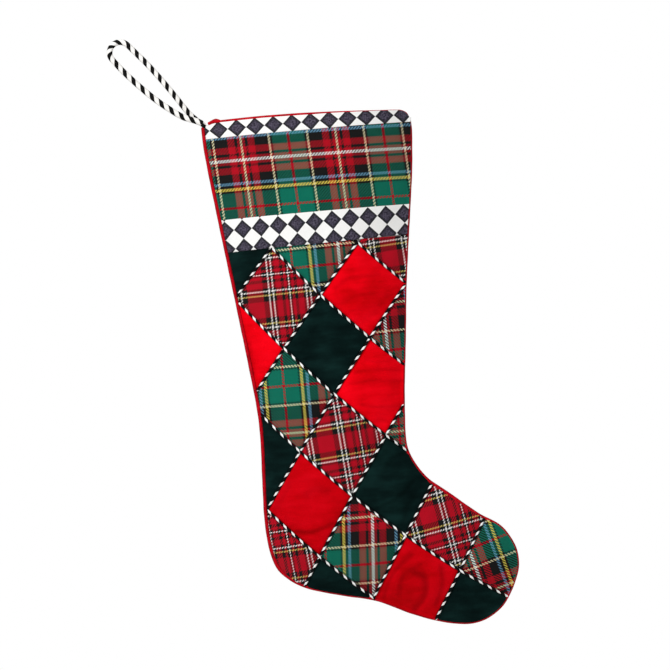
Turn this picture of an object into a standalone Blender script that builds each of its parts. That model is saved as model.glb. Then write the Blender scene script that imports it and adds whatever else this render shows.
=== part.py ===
"""A hanging Christmas stocking: quilted patchwork leg and foot, tartan cuff between two checked
ribbons, striped cord over the patch seams, red piping, a lined pocket and a striped hanging loop.

Metres. +X runs from the heel side to the toe side, +Y towards the wall behind, +Z up.
The origin is the hanging corner: the top corner on the heel side, in the plane of the side seam.
"""
from math import ceil, floor, pi, sin

import bmesh
import bpy
from mathutils import Vector

MM = 0.001
GAP = 0.3 * MM                       # clear space between pieces that touch

# Side and bottom edge of the stocking, outside the piping, from the heel side down, round the
# foot and up to the toe side (x, z in millimetres). A smooth curve runs through the points.
OUTLINE = [
    (-6.4, 14), (-6, -8), (-5, -31), (1.5, -90), (12.4, -179), (19.5, -238), (26, -298), (27, -332),
    (25, -380), (24, -412), (25.6, -442), (31.5, -465), (43, -479), (62, -490.5),        # heel
    (97, -501), (132, -509.5), (167, -525.7), (196, -536.5),                             # sole
    (224, -541.8), (244, -539), (263, -527), (276, -508), (284, -486), (282, -464), (269, -442.5),
    (247.5, -428), (218, -403.5), (198, -387), (186.5, -371), (179.8, -355), (178.6, -334),
    (182, -288), (187, -243), (193, -184), (201, -125), (209.2, -65), (213.4, -14), (214.6, 14)]
OUTLINE_STEP = 11 * MM

PIPING_RADIUS = 1.9 * MM             # red piping sewn into the side seam
MOUTH_PIPING_RADIUS = 1.0 * MM
SEAM_CORD_RADIUS = 1.4 * MM          # striped cord over the patch seams
LOOP_CORD_RADIUS = 3.0 * MM

TOP_RIBBON_FOOT = -17.3 * MM         # bands below the mouth, which is at z = 0
CUFF_FOOT = -101.6 * MM
LOWER_RIBBON_FOOT = -135.5 * MM

# The front bulges forward from the side seam; the back stays flat.
DOME_HEIGHT = 26 * MM
DOME_REACH = 75 * MM                 # distance from the seam at which the bulge is full
GRID = 20 * MM                       # facets of the bulge
EDGE_LIFT = 1.0 * MM                 # front fabric above the seam plane along its edge
FABRIC = 1.7 * MM                    # velvet, tartan, ribbon or back panel with its interfacing
BATTING = 3.0 * MM
LINING = 0.8 * MM
BATTING_INSET = 13 * MM              # wadding and lining stop short of the side seam
LINING_INSET = 18 * MM

# Quilting grid: knot (i, j) counts patches down to the toe side and down to the heel side.
# x and z are each start + i, j, i*i, i*j and j*j terms, in millimetres: the rows fan out a little.
KNOT_X = (102.4, 46.7, -42.7, 0.75, 0.5, 0.5)
KNOT_Z = (-187.2, -51.1, -51.5, 2.2, -2.75, -0.7)
SEAM_HALF_GAP = SEAM_CORD_RADIUS + 0.35 * MM
CORD_CLEAR = 1.0 * MM                # cord above the wadding
CORD_STEP = 10 * MM

GREEN_VELVET, RED_VELVET, RED_TARTAN, GREEN_TARTAN = "green_velvet", "red_velvet", "red_tartan", "green_tartan"
PATCHES = {
    (-1, -1): GREEN_TARTAN, (0, -2): RED_TARTAN, (-2, 0): GREEN_VELVET,
    (0, -1): RED_VELVET, (-1, 0): RED_TARTAN, (1, -1): GREEN_TARTAN,
    (0, 0): GREEN_VELVET, (-1, 1): RED_VELVET, (1, 0): RED_VELVET,
    (0, 1): GREEN_TARTAN, (2, 0): GREEN_TARTAN, (1, 1): RED_TARTAN,
    (0, 2): GREEN_VELVET, (2, 1): GREEN_VELVET, (1, 2): RED_VELVET,
    (3, 1): RED_TARTAN, (1, 3): RED_TARTAN, (2, 2): GREEN_TARTAN,
    (4, 1): GREEN_TARTAN, (3, 2): RED_VELVET, (2, 3): GREEN_VELVET, (4, 2): GREEN_VELVET}
# Long cords run down to the toe side, from knot (first, j) to knot (last, j).
LONG_CORDS = {-1: (-1, 2), 0: (-2, 2), 1: (-2, 3), 2: (-1, 6), 3: (0, 4)}
# Short cords lie between two long ones, from knot (i, j) to knot (i, j + 1).
SHORT_CORDS = [(-1, 0), (0, -1), (0, 0), (0, 1), (1, -1), (1, 0), (1, 1), (1, 2),
               (2, 0), (2, 1), (2, 2), (2, 3), (3, 1), (3, 2), (4, 1), (4, 2)]

# Hanging loop (x, z in millimetres): a stitched tack in the corner, a neck that swings on it, and
# the open loop, which also folds to the front and back at the end of the neck.
SWING_PIVOT = (-5.6, 1.9)
TILT_PIVOT = (-16.0, 9.0)
TACK_RADIUS = 2.8 * MM
TACK_HALF_DEPTH = 3.6 * MM
NECK_START = TACK_RADIUS + 0.5 * MM           # from the swing pivot
NECK_END = LOOP_CORD_RADIUS + 1.3 * MM        # short of the tilt pivot
NECK_END_RADIUS = 3.6 * MM
LOOP_ROUTE = [
    (-18.3, 6.8), (-27.2, 11.6), (-46.8, 26.9), (-64.8, 44), (-80.6, 61.2), (-86.6, 68.6), (-91.8, 75.5),
    (-93.8, 79.3), (-94.2, 83.5), (-92.9, 87.6), (-90.2, 90.9), (-86.4, 92.9), (-82.1, 93.3), (-78.0, 92.0),
    (-74.7, 89.3), (-66.7, 80.1), (-56.1, 67.7), (-42.2, 49.4), (-29.6, 31.3), (-13.7, 11.3)]
LOOP_STEP = 9 * MM

MATERIALS = {                        # colour, roughness, metallic
    GREEN_VELVET: ((0.004, 0.030, 0.020), 0.85, 0.0),
    RED_VELVET: ((0.60, 0.004, 0.012), 0.80, 0.0),
    RED_TARTAN: ((0.42, 0.020, 0.030), 0.85, 0.0),
    GREEN_TARTAN: ((0.030, 0.160, 0.090), 0.85, 0.0),
    "cuff_tartan": ((0.30, 0.050, 0.040), 0.85, 0.0),
    "checked_ribbon": ((0.45, 0.43, 0.44), 0.60, 0.0),
    "striped_cord": ((0.55, 0.54, 0.52), 0.75, 0.0),
    "red_piping": ((0.55, 0.004, 0.015), 0.60, 0.0),
    "wadding": ((0.85, 0.84, 0.80), 0.95, 0.0),
    "lining": ((0.45, 0.006, 0.015), 0.70, 0.0)}


def clear_scene():
    for thing in list(bpy.data.objects):
        bpy.data.objects.remove(thing, do_unlink=True)


def material(name):
    """The part's Principled material of that name."""
    found = bpy.data.materials.get(name)
    if found:
        return found
    made = bpy.data.materials.new(name)
    made.use_nodes = True
    colour, roughness, metallic = MATERIALS[name]
    shader = made.node_tree.nodes["Principled BSDF"]
    shader.inputs["Base Color"].default_value = (*colour, 1.0)
    shader.inputs["Roughness"].default_value = roughness
    shader.inputs["Metallic"].default_value = metallic
    return made


# ---- flat geometry, in the x-z plane ----

def spread(points, step):
    """Points every `step` along a line of straight runs, ends kept."""
    lengths = [(b - a).length for a, b in zip(points, points[1:])]
    count = max(1, ceil(sum(lengths) / step))
    wanted = [sum(lengths) * k / count for k in range(count + 1)]
    spread_points, run, passed = [], 0, 0.0
    for distance in wanted:
        while run < len(lengths) - 1 and passed + lengths[run] < distance:
            passed += lengths[run]
            run += 1
        share = min(1.0, (distance - passed) / lengths[run])
        spread_points.append(points[run].lerp(points[run + 1], share))
    return spread_points


def smooth_through(points, step):
    """Evenly spaced points on a smooth (Catmull-Rom) curve through the given ones."""
    ends = [2 * points[0] - points[1], *points, 2 * points[-1] - points[-2]]
    curve = []
    for a, b, c, d in zip(ends, ends[1:], ends[2:], ends[3:]):
        for k in range(8):
            t = k / 8
            curve.append(0.5 * (2 * b + t * (c - a) + t * t * (2 * a - 5 * b + 4 * c - d)
                                + t * t * t * (3 * b - a - 3 * c + d)))
    return spread([*curve, points[-1]], step)


def inset(line, distance):
    """The line moved to its left by a distance, which is inwards for the stocking's outline."""
    moved = []
    for k, point in enumerate(line):
        along = (line[min(k + 1, len(line) - 1)] - line[max(k - 1, 0)]).normalized()
        moved.append(point + distance * Vector((-along.y, along.x)))
    return moved


def clip(polygon, point, inward):
    """The part of a polygon on the inward side of a straight line."""
    kept = []
    for a, b in zip(polygon, [*polygon[1:], polygon[0]]):
        side_a, side_b = (a - point).dot(inward), (b - point).dot(inward)
        if side_a >= 0:
            kept.append(a)
        if (side_a >= 0) != (side_b >= 0):
            kept.append(a.lerp(b, side_a / (side_a - side_b)))
    return kept


def band(polygon, top, foot):
    """The part of a polygon between two heights."""
    return clip(clip(polygon, Vector((0, top)), Vector((0, -1))), Vector((0, foot)), Vector((0, 1)))


def knot(i, j):
    """Where quilting seams i and j cross."""
    terms = (1, i, j, i * i, i * j, j * j)
    return Vector((sum(a * b for a, b in zip(KNOT_X, terms)), sum(a * b for a, b in zip(KNOT_Z, terms)))) * MM


OUTER_EDGE = smooth_through([Vector(p) * MM for p in OUTLINE], OUTLINE_STEP)
PIPING_LINE = inset(OUTER_EDGE, PIPING_RADIUS)
SEAM_LINE = inset(OUTER_EDGE, 2 * PIPING_RADIUS + GAP)


def distance_inside(point):
    """Distance from a point to the side seam, negative outside the stocking."""
    nearest, best, inside = 1e9, 0.0, False
    for a, b in zip(SEAM_LINE, SEAM_LINE[1:]):
        run = b - a
        share = min(1.0, max(0.0, (point - a).dot(run) / run.length_squared))
        gap = (point - a - share * run).length
        if gap < nearest:
            nearest, best = gap, run.x * (point.y - a.y) - run.y * (point.x - a.x)
    inside = best > 0
    return nearest if inside else -nearest


DOME_KNOTS = {}


def dome_knot(i, j):
    """Height of the bulge at a corner of the facet grid."""
    if (i, j) not in DOME_KNOTS:
        reach = distance_inside(Vector((i * GRID, j * GRID))) / DOME_REACH
        DOME_KNOTS[i, j] = DOME_HEIGHT * sin(pi / 2 * min(1.0, max(-0.2, reach)))
    return DOME_KNOTS[i, j]


def bulge(x, z):
    """Height of the faceted bulge, linear over each triangular half of a grid square."""
    i, j = floor(x / GRID), floor(z / GRID)
    u, v = x / GRID - i, z / GRID - j
    side_a, side_b = dome_knot(i + 1, j), dome_knot(i, j + 1)
    if u + v <= 1:
        corner = dome_knot(i, j)
        height = corner + u * (side_a - corner) + v * (side_b - corner)
    else:
        corner = dome_knot(i + 1, j + 1)
        height = corner + (1 - u) * (side_b - corner) + (1 - v) * (side_a - corner)
    return max(0.0, height)


# ---- solids ----

def finish(name, thing, material_name, parent=None):
    """Name an object, give it its material and put it in the scene."""
    thing.name = name
    thing.data.name = name
    thing.data.materials.append(material(material_name))
    bpy.context.scene.collection.objects.link(thing)
    if parent:
        thing.parent = parent
        thing.matrix_parent_inverse = parent.matrix_world.inverted()
    return thing


def cut_along_facets(sheet):
    """Cut a flat sheet along every line of the facet grid."""
    xs = [v.co.x for v in sheet.verts]
    zs = [v.co.z for v in sheet.verts]
    lines = [(min(xs), max(xs), Vector((1, 0, 0))), (min(zs), max(zs), Vector((0, 0, 1))),
             (min(xs) + min(zs), max(xs) + max(zs), Vector((1, 0, 1)))]
    for low, high, direction in lines:
        for k in range(ceil(low / GRID), floor(high / GRID) + 1):
            point = direction * (k * GRID / direction.length_squared)
            bmesh.ops.bisect_plane(sheet, geom=sheet.verts[:] + sheet.edges[:] + sheet.faces[:],
                                   dist=0.02 * MM, plane_co=point, plane_no=direction)


def slab(name, polygon, material_name, front, back, curved=True):
    """A fabric layer: the polygon between two depths in front of the seam plane, on the bulge or flat."""
    sheet = bmesh.new()
    sheet.faces.new([sheet.verts.new((p.x, 0, p.y)) for p in polygon])
    if curved:
        cut_along_facets(sheet)
    sheet.verts.index_update()
    solid = bmesh.new()
    layers = []
    for depth in (front, back):
        layers.append([solid.verts.new((v.co.x, -depth - (bulge(v.co.x, v.co.z) if curved else 0), v.co.z))
                       for v in sheet.verts])
    for face in sheet.faces:
        for layer in layers:
            solid.faces.new([layer[v.index] for v in face.verts])
    for edge in sheet.edges:
        if edge.is_boundary:
            a, b = (v.index for v in edge.verts)
            solid.faces.new([layers[0][a], layers[0][b], layers[1][b], layers[1][a]])
    solid.normal_update()
    bmesh.ops.triangulate(solid, faces=solid.faces[:])
    bmesh.ops.recalc_face_normals(solid, faces=solid.faces[:])
    mesh = bpy.data.meshes.new(name)
    solid.to_mesh(mesh)
    sheet.free()
    solid.free()
    return finish(name, bpy.data.objects.new(name, mesh), material_name)


def tube(name, points, radius, material_name, closed=False, sides=1, radii=None, parent=None):
    """A cord: a round tube along the given points, with filled ends unless it is a ring."""
    curve = bpy.data.curves.new(name, "CURVE")
    curve.dimensions = "3D"
    curve.bevel_depth = radius
    curve.bevel_resolution = sides
    curve.render_resolution_u = 0
    curve.use_fill_caps = not closed
    line = curve.splines.new("POLY")
    line.points.add(len(points) - 1)
    for k, point in enumerate(points):
        line.points[k].co = (*point, 1)
        line.points[k].radius = radii[k] if radii else 1.0
    line.use_cyclic_u = closed
    return finish(name, bpy.data.objects.new(name, curve), material_name, parent)


# ---- the stocking's pieces ----

FRONT_BACK = EDGE_LIFT                       # inner face of the front fabric
FRONT_FACE = FRONT_BACK + FABRIC
BATTING_FACE = FRONT_BACK - GAP


def make_front():
    """Ribbons, cuff and patches: the front of the stocking, side by side on the bulge."""
    outline = list(SEAM_LINE)
    bands = [("top_check_ribbon", 0, TOP_RIBBON_FOOT, "checked_ribbon"),
             ("tartan_cuff", TOP_RIBBON_FOOT, CUFF_FOOT, "cuff_tartan"),
             ("lower_check_ribbon", CUFF_FOOT, LOWER_RIBBON_FOOT, "checked_ribbon")]
    for name, top, foot, fabric in bands:
        slab(name, band(outline, top - GAP / 2, foot + GAP / 2), fabric, FRONT_FACE, FRONT_BACK)
    below = band(outline, LOWER_RIBBON_FOOT - GAP / 2, -1)
    for number, ((i, j), fabric) in enumerate(PATCHES.items(), start=1):
        corners = [knot(i, j), knot(i, j + 1), knot(i + 1, j + 1), knot(i + 1, j)]
        polygon = below
        for a, b in zip(corners, [*corners[1:], corners[0]]):
            along = (b - a).normalized()
            inward = Vector((-along.y, along.x))
            polygon = clip(polygon, a + SEAM_HALF_GAP * inward, inward)
        slab(f"patch_{number:02d}_{fabric}", polygon, fabric, FRONT_FACE, FRONT_BACK)


def on_wadding(line):
    """A line in the x-z plane laid on the wadding, as a cord's centre line."""
    depth = BATTING_FACE + CORD_CLEAR + SEAM_CORD_RADIUS
    return [(p.x, -depth - bulge(p.x, p.y), p.y) for p in line]


def trimmed_to_patchwork(line):
    """The part of a line inside the side seam and below the lower ribbon."""
    margin = 1.0 * MM
    low_edge = LOWER_RIBBON_FOOT - SEAM_CORD_RADIUS - GAP
    fine = spread(line, 0.5 * MM)
    return [p for p in fine if p.y < low_edge and distance_inside(p) > margin]


def make_seam_cords():
    """Striped cord over the quilting seams: long runs, and short ones between them."""
    for number, (j, (first, last)) in enumerate(LONG_CORDS.items(), start=1):
        line = trimmed_to_patchwork([knot(i, j) for i in range(first, last + 1)])
        tube(f"long_seam_cord_{number}", on_wadding(spread(line, CORD_STEP)), SEAM_CORD_RADIUS, "striped_cord")
    clear_of_long_cord = 2.3 * MM
    for number, (i, j) in enumerate(SHORT_CORDS, start=1):
        a, b = knot(i, j), knot(i, j + 1)
        along = (b - a).normalized()
        line = trimmed_to_patchwork([a + clear_of_long_cord * along, b - clear_of_long_cord * along])
        tube(f"short_seam_cord_{number:02d}", on_wadding(spread(line, CORD_STEP)), SEAM_CORD_RADIUS,
             "striped_cord")


def make_layers():
    """Wadding and lining of the front and back, and the flat back panel."""
    wadding = band(inset(SEAM_LINE, BATTING_INSET), -GAP, -1)
    lining = band(inset(SEAM_LINE, LINING_INSET), -GAP, -1)
    slab("front_wadding", wadding, "wadding", BATTING_FACE, BATTING_FACE - BATTING)
    lining_face = BATTING_FACE - BATTING - GAP
    slab("front_lining", lining, "lining", lining_face, lining_face - LINING)
    slab("back_wadding", wadding, "wadding", BATTING, 0, curved=False)
    slab("back_lining", lining, "lining", BATTING + GAP + LINING, BATTING + GAP, curved=False)
    slab("back_panel", band(SEAM_LINE, -GAP / 2, -1), GREEN_VELVET, -GAP, -GAP - FABRIC, curved=False)


def make_piping():
    """Red piping in the side seam and round the mouth, with its cut end lapped over the corner."""
    top_gap = 2.9 * MM
    side = band(PIPING_LINE, -top_gap, -1)
    start = min(range(len(side)), key=lambda k: (round(-side[k].y / MM), side[k].x))
    side = side[start:] + side[:start]
    if side[1].x > side[0].x + 50 * MM:
        side = [side[0], *reversed(side[1:])]
    tube("side_piping", [(p.x, 0, p.y) for p in side], PIPING_RADIUS, "red_piping")

    height = MOUTH_PIPING_RADIUS + GAP
    mouth = band(SEAM_LINE, -GAP, -2 * GAP)
    left, right = min(p.x for p in mouth), max(p.x for p in mouth)
    front = spread([Vector((left + MM, 0)), Vector((right - MM, 0))], 14 * MM)
    front_depth = (FRONT_BACK + FRONT_FACE) / 2
    back_depth = FABRIC - MOUTH_PIPING_RADIUS + GAP / 2
    ring = [(p.x, -front_depth - bulge(p.x, -GAP), height) for p in front]
    ring += [(right, 0, height)]
    ring += [(p.x, back_depth, height) for p in reversed(front)]
    ring += [(left, 0, height)]
    tube("mouth_piping", ring, MOUTH_PIPING_RADIUS, "red_piping", closed=True)

    tail = [(1.5, -0.8), (4.5, 0.4), (8, 2.4), (11, 2.6), (14, 1.4)]
    tail_depth = FRONT_FACE + MOUTH_PIPING_RADIUS + 2 * GAP
    tube("piping_tail", [(x * MM, -tail_depth - bulge(x * MM, 0), z * MM) for x, z in tail],
         MOUTH_PIPING_RADIUS, "red_piping")


def pivot(name, place, parent=None):
    """An empty on a joint's axis."""
    empty = bpy.data.objects.new(name, None)
    empty.location = place
    bpy.context.scene.collection.objects.link(empty)
    bpy.context.view_layer.update()
    if parent:
        empty.parent = parent
        empty.matrix_parent_inverse = parent.matrix_world.inverted()
        bpy.context.view_layer.update()
    return empty


def make_loop():
    """The stitched tack in the corner, the neck that swings on it and the loop that folds on the neck."""
    swing = Vector((SWING_PIVOT[0], 0, SWING_PIVOT[1])) * MM
    tilt = Vector((TILT_PIVOT[0], 0, TILT_PIVOT[1])) * MM
    shape = bmesh.new()
    bmesh.ops.create_uvsphere(shape, u_segments=12, v_segments=8, radius=TACK_RADIUS)
    for vert in shape.verts:
        vert.co = Vector((vert.co.x, vert.co.y * TACK_HALF_DEPTH / TACK_RADIUS, vert.co.z))
    mesh = bpy.data.meshes.new("loop_tack")
    shape.to_mesh(mesh)
    shape.free()
    mesh.shade_smooth()
    finish("loop_tack", bpy.data.objects.new("loop_tack", mesh), "striped_cord").location = swing

    swing_pivot = pivot("loop_swing", swing)
    tilt_pivot = pivot("loop_tilt", tilt, swing_pivot)
    along = (tilt - swing).normalized()
    start = swing + along * NECK_START
    end = tilt - along * NECK_END
    tube("loop_neck", [start, end], LOOP_CORD_RADIUS, "striped_cord", sides=3,
         radii=[1.0, NECK_END_RADIUS / LOOP_CORD_RADIUS], parent=swing_pivot)

    route = smooth_through([Vector((x, 0, z)) * MM for x, z in LOOP_ROUTE], LOOP_STEP)
    rounding = [(-0.94, 0.34), (-0.72, 0.69), (-0.4, 0.92)]     # along the axis, radius, per radius
    first = (route[1] - route[0]).normalized()
    last = (route[-1] - route[-2]).normalized()
    points = [route[0] + first * (t * LOOP_CORD_RADIUS) for t, _ in rounding] + route
    points += [route[-1] - last * (t * LOOP_CORD_RADIUS) for t, _ in reversed(rounding)]
    radii = [r for _, r in rounding] + [1.0] * len(route) + [r for _, r in reversed(rounding)]
    tube("hanging_loop", points, LOOP_CORD_RADIUS, "striped_cord", sides=3, radii=radii, parent=tilt_pivot)


def main():
    clear_scene()
    make_front()
    make_seam_cords()
    make_layers()
    make_piping()
    make_loop()


main()
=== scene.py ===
"""The looks of a hanging patchwork stocking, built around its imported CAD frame.

Metres. +X runs from the heel side to the toe side, +Y towards the wall behind, +Z up, and the
origin is the hanging corner. Cloth is laid out on the front's plan, (x, z), and given its depth
by the bulge of the filled-out stocking and the puff between its seams.
"""
from math import ceil, cos, pi, radians, sin

import bpy
import numpy as np
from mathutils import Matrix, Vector


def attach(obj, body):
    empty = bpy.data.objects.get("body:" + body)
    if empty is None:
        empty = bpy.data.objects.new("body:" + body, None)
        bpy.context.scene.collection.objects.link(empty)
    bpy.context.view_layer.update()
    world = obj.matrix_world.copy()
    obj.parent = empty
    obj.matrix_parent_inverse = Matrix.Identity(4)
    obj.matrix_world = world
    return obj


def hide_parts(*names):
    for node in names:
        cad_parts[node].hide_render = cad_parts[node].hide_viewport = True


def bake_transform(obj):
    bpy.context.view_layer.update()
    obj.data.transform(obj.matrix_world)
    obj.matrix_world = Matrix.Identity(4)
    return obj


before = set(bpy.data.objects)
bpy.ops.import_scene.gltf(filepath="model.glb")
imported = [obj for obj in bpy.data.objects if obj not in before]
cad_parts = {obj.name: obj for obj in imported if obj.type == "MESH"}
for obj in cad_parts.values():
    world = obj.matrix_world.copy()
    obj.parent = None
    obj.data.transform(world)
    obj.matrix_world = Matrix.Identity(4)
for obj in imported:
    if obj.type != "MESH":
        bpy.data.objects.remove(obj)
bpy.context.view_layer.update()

MM = 0.001

# ---- the design's own sizes, as the CAD has them ----

OUTLINE = [
    (-6.4, 14), (-6, -8), (-5, -31), (1.5, -90), (12.4, -179), (19.5, -238), (26, -298), (27, -332),
    (25, -380), (24, -412), (25.6, -442), (31.5, -465), (43, -479), (62, -490.5),        # heel
    (97, -501), (132, -509.5), (167, -525.7), (196, -536.5),                             # sole
    (224, -541.8), (244, -539), (263, -527), (276, -508), (284, -486), (282, -464), (269, -442.5),
    (247.5, -428), (218, -403.5), (198, -387), (186.5, -371), (179.8, -355), (178.6, -334),
    (182, -288), (187, -243), (193, -184), (201, -125), (209.2, -65), (213.4, -14), (214.6, 14)]
PIPING_RADIUS = 1.9 * MM
MOUTH_PIPING_RADIUS = 1.2 * MM
SEAM_CORD_RADIUS = 1.4 * MM
LOOP_CORD_RADIUS = 3.0 * MM
MOUTH_TOP, BELOW_FOOT = 0.9 * MM, -0.6            # heights above and below all the cloth
CUFF_FOOT = -101.0 * MM
LOWER_RIBBON_FOOT = -134.6 * MM
DOME_HEIGHT = 26 * MM
DOME_REACH = 75 * MM
KNOT_X = (102.4, 46.7, -42.7, 0.75, 0.5, 0.5)
KNOT_Z = (-187.2, -51.1, -51.5, 2.2, -2.75, -0.7)

GREEN_VELVET, RED_VELVET = "green_velvet", "red_velvet"
RED_TARTAN, GREEN_TARTAN = "red_tartan", "green_tartan"
PATCHES = {
    (-1, -1): GREEN_TARTAN, (0, -2): RED_TARTAN, (-2, 0): GREEN_VELVET,
    (0, -1): RED_VELVET, (-1, 0): RED_TARTAN, (1, -1): GREEN_TARTAN,
    (0, 0): GREEN_VELVET, (-1, 1): RED_VELVET, (1, 0): RED_VELVET,
    (0, 1): GREEN_TARTAN, (2, 0): GREEN_TARTAN, (1, 1): RED_TARTAN,
    (0, 2): GREEN_VELVET, (2, 1): GREEN_VELVET, (1, 2): RED_VELVET,
    (3, 1): RED_TARTAN, (1, 3): RED_TARTAN, (2, 2): GREEN_TARTAN,
    (4, 1): GREEN_TARTAN, (3, 2): RED_VELVET, (2, 3): GREEN_VELVET, (4, 2): GREEN_VELVET}
# How light each red velvet patch is made as a whole: lighter up the leg, darker at the heel and the toe.
PATCH_LIGHTNESS = {(0, -1): 1.06, (1, 0): 1.16, (-1, 1): 1.12, (1, 2): 0.76, (3, 2): 0.74}
LONG_CORDS = {-1: (-1, 2), 0: (-2, 2), 1: (-2, 3), 2: (-1, 6), 3: (0, 4)}
SHORT_CORDS = [(-1, 0), (0, -1), (0, 0), (0, 1), (1, -1), (1, 0), (1, 1), (1, 2),
               (2, 0), (2, 1), (2, 2), (2, 3), (3, 1), (3, 2), (4, 1), (4, 2)]

SWING_PIVOT = np.array((-5.6, 0, 1.9)) * MM
LOOP_ROUTE = [
    (-18.3, 6.8), (-27.2, 11.6), (-46.8, 26.9), (-64.8, 44), (-80.6, 61.2), (-86.6, 68.6), (-91.8, 75.5),
    (-93.8, 79.3), (-94.2, 83.5), (-92.9, 87.6), (-90.2, 90.9), (-86.4, 92.9), (-82.1, 93.3), (-78.0, 92.0),
    (-74.7, 89.3), (-66.7, 80.1), (-56.1, 67.7), (-42.2, 49.4), (-29.6, 31.3), (-13.7, 11.3)]

LOOP_PITCH = 11.9                 # mm from one stripe of the loop cord to the next
# How many stripes have passed along the loop, at distances in mm from the swing pivot: the cord
# is twisted a little where it turns back.
LOOP_TURNS = ((0, 24, 124.4, 141.3, 165.9, 261), (0.11, 2.25, 10.25, 12.25, 14.25, 22.54))

# How each tartan lies: where its two pivot stripes cross (x, z in mm), then how far its upright
# and its level stripes are turned anticlockwise, in degrees.
CUFF_LIE = (35.4, -40.8, 3.5, -0.7)
PLAIN_LIE = (0, 0, 0, 0)
# A ribbon's lie starts at a diamond's middle and ends with a check's width and height in mm.
UPPER_RIBBON_LIE = (12.1, -7.2, 0, -0.2, 19.2, 18.0)
LOWER_RIBBON_LIE = (28.3, -112.1, 0, 0.6, 18.7, 19.5)
TARTAN_LIES = {
    (-1, -1): (124.6, -107.3, 1, 1), (1, -1): (166.5, -201.5, 1, 1), (0, 1): (105.7, -229.1, 0, 0),
    (2, 0): (122.8, -335.5, 0, 0), (2, 2): (136.1, -420.4, -3.8, 0), (4, 1): (245.9, -510.7, 15.3, 15.3),
    (-1, 0): (71.0, -161.2, 1, 1), (1, 1): (127.9, -302.6, 5, 5), (0, -2): (139.7, -122.7, 4, 4),
    (3, 1): (235.4, -453.7, 10, 10), (1, 3): (45.5, -427.9, 6, 5)}


# ---- lines and distances on the plan ----

def spread(line, step):
    """Evenly spaced points along a line of straight runs, ends kept."""
    reached = np.concatenate([[0], np.cumsum(np.linalg.norm(np.diff(line, axis=0), axis=1))])
    wanted = np.linspace(0, reached[-1], max(2, ceil(reached[-1] / step) + 1))
    return np.column_stack([np.interp(wanted, reached, line[:, k]) for k in range(line.shape[1])])


def smooth_through(points, step):
    """Evenly spaced points on a smooth (Catmull-Rom) curve through the given ones."""
    points = np.array(points, float)
    ends = np.vstack([2 * points[0] - points[1], points, 2 * points[-1] - points[-2]])
    t = np.linspace(0, 1, 12, endpoint=False)[:, None]
    runs = [0.5 * (2 * b + t * (c - a) + t * t * (2 * a - 5 * b + 4 * c - d)
                   + t ** 3 * (3 * b - a - 3 * c + d))
            for a, b, c, d in zip(ends, ends[1:], ends[2:], ends[3:])]
    return spread(np.vstack([*runs, points[-1:]]), step)


def unit(vectors):
    return vectors / np.maximum(np.linalg.norm(vectors, axis=-1, keepdims=True), 1e-12)


def eased_step(value):
    share = np.clip(value, 0, 1)
    return share * share * (3 - 2 * share)


def inset(line, distance):
    """The line moved to its left by a distance, which is inwards for the stocking's outline."""
    along = unit(np.gradient(line, axis=0))
    return line + np.reshape(distance, (-1, 1)) * np.column_stack([-along[:, 1], along[:, 0]])


def distance_to(points, starts, ends):
    """Distance from each point to the nearest of some straight runs, negative to their right."""
    found = np.empty(len(points))
    runs = ends - starts
    squares = np.maximum((runs ** 2).sum(1), 1e-12)
    for first in range(0, len(points), 5000):
        offset = points[first:first + 5000, None] - starts
        share = np.clip((offset * runs).sum(2) / squares, 0, 1)
        gap = np.linalg.norm(offset - share[..., None] * runs, axis=2)
        nearest = gap.argmin(1)
        rows = np.arange(len(nearest))
        run, off = runs[nearest], offset[rows, nearest]
        side = np.sign(run[:, 0] * off[:, 1] - run[:, 1] * off[:, 0])
        found[first:first + 5000] = gap[rows, nearest] * np.where(side < 0, -1, 1)
    return found


def distance_from(points, line):
    """Distance from each point to a line, negative to its right."""
    return distance_to(points, line[:-1], line[1:])


def knot(i, j):
    """Where quilting seams i and j cross."""
    terms = np.array((1, i, j, i * i, i * j, j * j))
    return np.array((np.dot(KNOT_X, terms), np.dot(KNOT_Z, terms))) * MM


def clip(polygon, point, inward):
    """The part of a polygon on the inward side of a straight line."""
    kept = []
    sides = (polygon - point) @ inward
    for a, b, side_a, side_b in zip(polygon, np.roll(polygon, -1, 0), sides, np.roll(sides, -1)):
        if side_a >= 0:
            kept.append(a)
        if (side_a >= 0) != (side_b >= 0):
            kept.append(a + (b - a) * side_a / (side_a - side_b))
    return np.array(kept)


def band(polygon, top, foot):
    """The part of a polygon between two heights."""
    upper = clip(polygon, np.array((0, top)), np.array((0, -1)))
    return clip(upper, np.array((0, foot)), np.array((0, 1)))


OUTER_EDGE = smooth_through(np.array(OUTLINE) * MM, 3 * MM)
SEAM_LINE = inset(OUTER_EDGE, 2 * PIPING_RADIUS + 0.3 * MM)
SEAM_ENDS = [(knot(i, j), knot(i + 1, j)) for j, (first, last) in LONG_CORDS.items()
             for i in range(first, last)]
SEAM_ENDS += [(knot(i, j), knot(i, j + 1)) for i, j in SHORT_CORDS]
SEAM_STARTS, SEAM_STOPS = (np.array(ends) for ends in zip(*SEAM_ENDS))


def distance_inside(points):
    """Distance from the side seam, negative outside it."""
    return distance_from(points, SEAM_LINE)


def distance_from_seams(points):
    """Distance from the nearest quilting seam."""
    return np.abs(distance_to(points, SEAM_STARTS, SEAM_STOPS))


# ---- depth of the front: the bulge and the puff between the seams ----

FIELD_STEP = 3.5 * MM
FIELD_START = np.array((-0.028, -0.567))
FIELD_SHAPE = (96, 172)


def field_points():
    x, z = np.meshgrid(*(FIELD_START[k] + FIELD_STEP * np.arange(FIELD_SHAPE[k]) for k in (0, 1)),
                       indexing="ij")
    return np.column_stack([x.ravel(), z.ravel()])


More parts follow.
